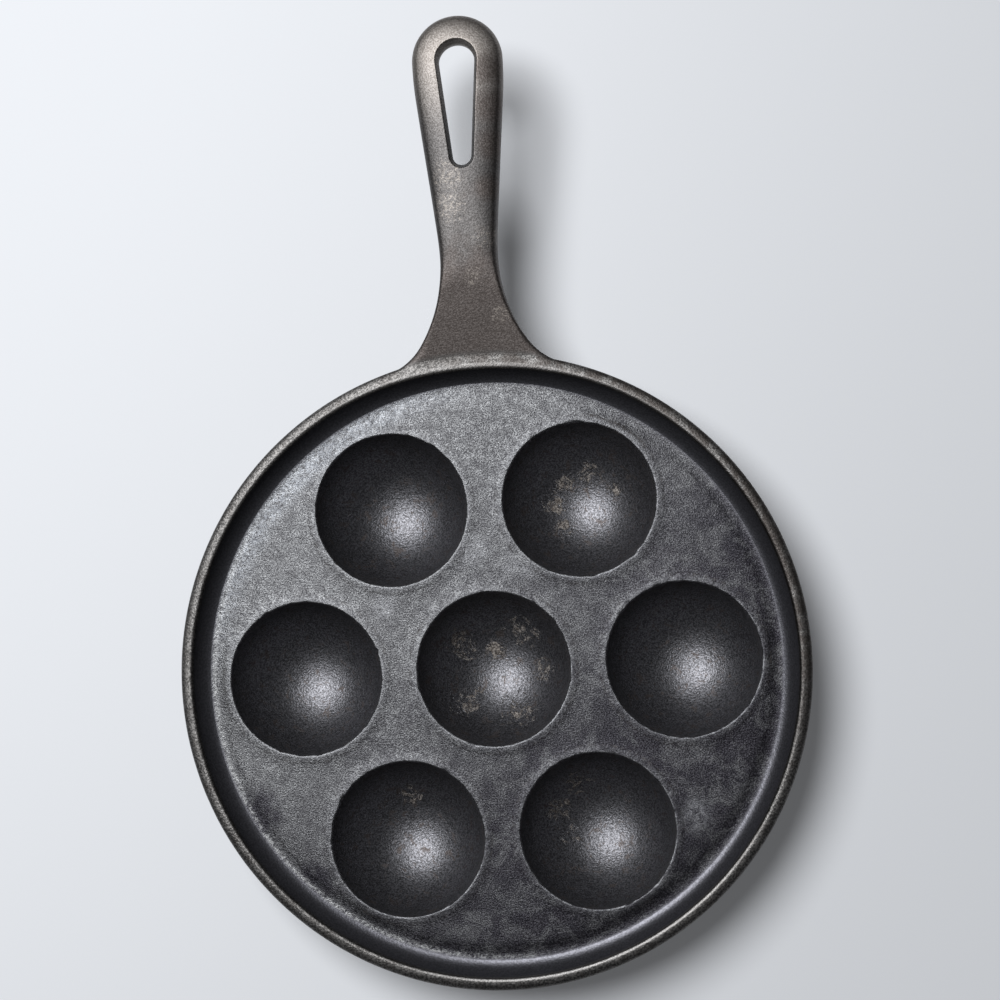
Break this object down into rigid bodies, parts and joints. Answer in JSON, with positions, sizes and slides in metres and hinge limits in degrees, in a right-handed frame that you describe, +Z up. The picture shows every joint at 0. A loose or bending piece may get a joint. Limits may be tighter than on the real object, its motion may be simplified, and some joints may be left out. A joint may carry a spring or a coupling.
{
  "type": "aebleskiver pan",
  "caption": "Cast-iron pan for round filled pancakes: a flat round plate with hemispherical wells, a raised rim, a side wall with a foot, and a flared handle with a hanging eye.",
  "frame": {"origin": "centre of the flat under the middle cup, on the plane that the pan stands on", "axes": "+Z up along the plate's axis, +Y along the handle towards the hanging eye, +X to the right with the handle pointing away"},
  "size_m": [0.235, 0.3615, 0.0493],
  "materials": {
    "plate_iron": "sand cast, worn and seasoned, matt",
    "well_iron": "seasoned near black, low sheen",
    "handle_iron": "sand cast, brown seasoning, satin"
  },
  "bodies": {
    "root": {"griddle_plate": "plate_iron", "rim": "plate_iron", "skirt": "plate_iron", "cup_centre": "well_iron", "cup_right": "well_iron", "cup_handle_right": "well_iron", "cup_handle_left": "well_iron", "cup_left": "well_iron", "cup_far_left": "well_iron", "cup_far_right": "well_iron", "handle_root": "handle_iron", "handle_grip": "handle_iron", "hanging_eye": "handle_iron"}
  },
  "joints": []
}
